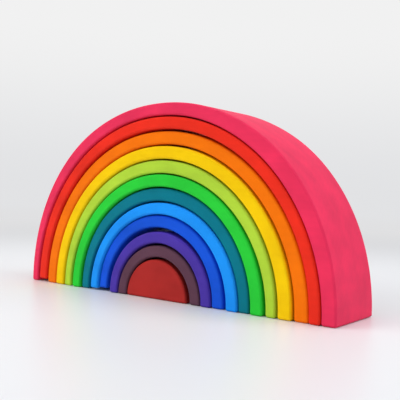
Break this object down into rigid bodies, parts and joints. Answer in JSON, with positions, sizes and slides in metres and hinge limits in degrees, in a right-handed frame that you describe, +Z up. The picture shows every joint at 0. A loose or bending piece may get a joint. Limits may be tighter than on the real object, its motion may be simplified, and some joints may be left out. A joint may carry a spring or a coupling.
{
  "type": "rainbow stacker",
  "caption": "Nested wooden rainbow stacking toy: coloured half-round arches, each a saw cut inside the next, around a solid half-round core.",
  "frame": {"origin": "on the table, in the middle of the outermost arch's length and of the nest's depth", "axes": "+X along the length, to the right as seen from the front; +Y from front to back; +Z up"},
  "size_m": [0.3672, 0.074, 0.1866],
  "materials": {
    "pink_stain": "stained, satin",
    "red_stain": "stained, satin",
    "orange_stain": "stained, satin",
    "yellow_stain": "stained, satin",
    "lime_stain": "stained, satin",
    "green_stain": "stained, satin",
    "teal_stain": "stained, satin",
    "sky_stain": "stained, satin",
    "blue_stain": "stained, satin",
    "purple_stain": "stained, satin",
    "plum_stain": "stained, satin",
    "core_stain": "stained, satin"
  },
  "bodies": {
    "pink_arch": {"pink_arch": "pink_stain"},
    "red_arch": {"red_arch": "red_stain"},
    "orange_arch": {"orange_arch": "orange_stain"},
    "yellow_arch": {"yellow_arch": "yellow_stain"},
    "lime_arch": {"lime_arch": "lime_stain"},
    "green_arch": {"green_arch": "green_stain"},
    "teal_arch": {"teal_arch": "teal_stain"},
    "sky_arch": {"sky_arch": "sky_stain"},
    "blue_arch": {"blue_arch": "blue_stain"},
    "purple_arch": {"purple_arch": "purple_stain"},
    "plum_arch": {"plum_arch": "plum_stain"},
    "core_block": {"core_block": "core_stain"}
  },
  "joints": [
    {"name": "red_slide", "type": "slide", "parent": "pink_arch", "child": "red_arch", "axis": [0, -1, 0], "range_m": [-0.085, 0.085]},
    {"name": "orange_slide", "type": "slide", "parent": "red_arch", "child": "orange_arch", "axis": [0, -1, 0], "range_m": [-0.085, 0.085]},
    {"name": "yellow_slide", "type": "slide", "parent": "orange_arch", "child": "yellow_arch", "axis": [0, -1, 0], "range_m": [-0.085, 0.085]},
    {"name": "lime_slide", "type": "slide", "parent": "yellow_arch", "child": "lime_arch", "axis": [0, -1, 0], "range_m": [-0.085, 0.085]},
    {"name": "green_slide", "type": "slide", "parent": "lime_arch", "child": "green_arch", "axis": [0, -1, 0], "range_m": [-0.085, 0.085]},
    {"name": "teal_slide", "type": "slide", "parent": "green_arch", "child": "teal_arch", "axis": [0, -1, 0], "range_m": [-0.085, 0.085]},
    {"name": "sky_slide", "type": "slide", "parent": "teal_arch", "child": "sky_arch", "axis": [0, -1, 0], "range_m": [-0.085, 0.085]},
    {"name": "blue_slide", "type": "slide", "parent": "sky_arch", "child": "blue_arch", "axis": [0, -1, 0], "range_m": [-0.085, 0.085]},
    {"name": "purple_slide", "type": "slide", "parent": "blue_arch", "child": "purple_arch", "axis": [0, -1, 0], "range_m": [-0.085, 0.085]},
    {"name": "plum_slide", "type": "slide", "parent": "purple_arch", "child": "plum_arch", "axis": [0, -1, 0], "range_m": [-0.085, 0.085]},
    {"name": "core_slide", "type": "slide", "parent": "plum_arch", "child": "core_block", "axis": [0, -1, 0], "range_m": [-0.085, 0.085]}
  ]
}
